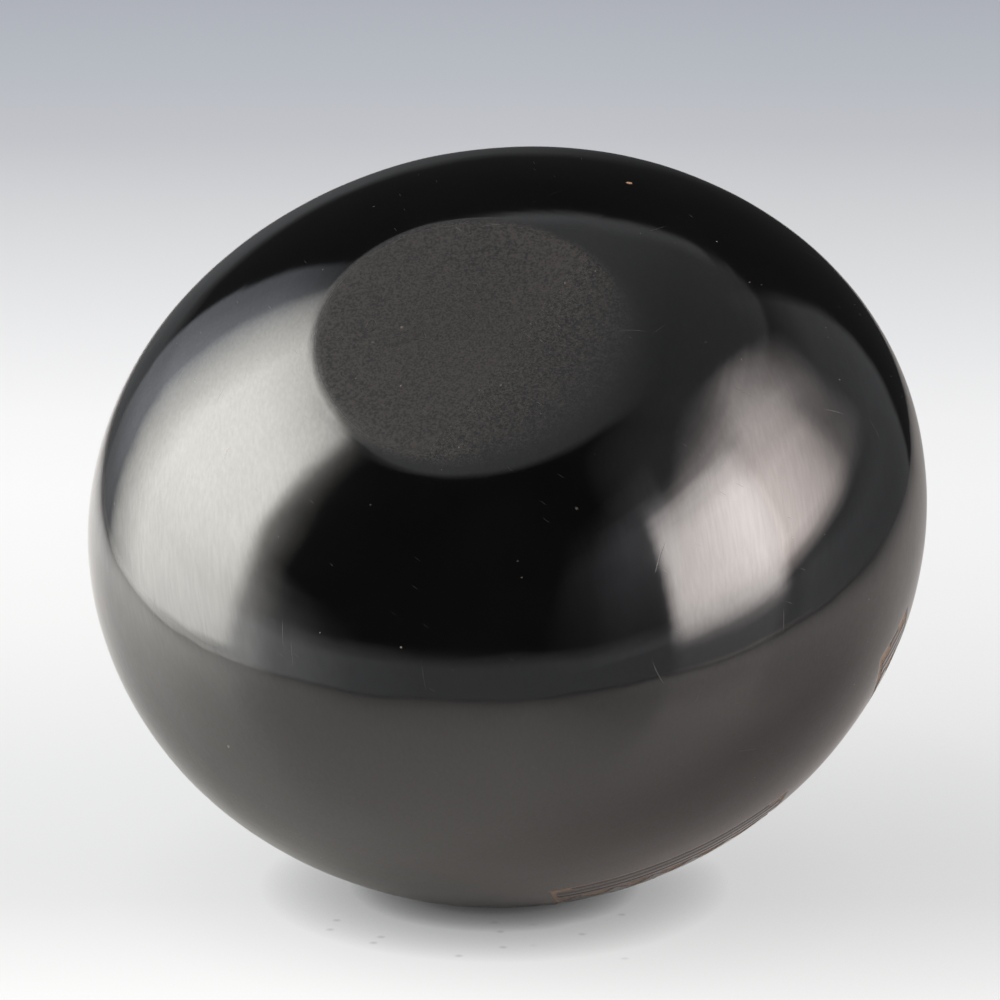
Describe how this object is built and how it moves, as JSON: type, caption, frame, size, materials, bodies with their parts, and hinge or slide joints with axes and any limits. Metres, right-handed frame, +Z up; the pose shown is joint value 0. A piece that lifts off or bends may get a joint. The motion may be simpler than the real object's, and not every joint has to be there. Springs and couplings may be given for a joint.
{
  "type": "pottery bowl",
  "caption": "Small closed-in pottery bowl of burnished black clay on a flat foot, coil-built, with a round belly, a rounded open mouth and incised shoulder panels. It holds small things.",
  "frame": {"origin": "middle of the flat foot, on the surface that the bowl stands on", "axes": "+Z up along the axis of the bowl, from the foot to the mouth; X and Y are alike round it"},
  "size_m": [0.09, 0.09, 0.0607],
  "materials": {
    "burnished_black": "stone-burnished black slip, smooth and glossy with fine polishing streaks; bare and matt inside"
  },
  "bodies": {
    "root": {"base_pat": "burnished_black", "wall_coil_1": "burnished_black", "wall_coil_2": "burnished_black", "wall_coil_3": "burnished_black", "wall_coil_4": "burnished_black", "wall_coil_5": "burnished_black", "wall_coil_6": "burnished_black", "rim_coil": "burnished_black"}
  },
  "joints": []
}
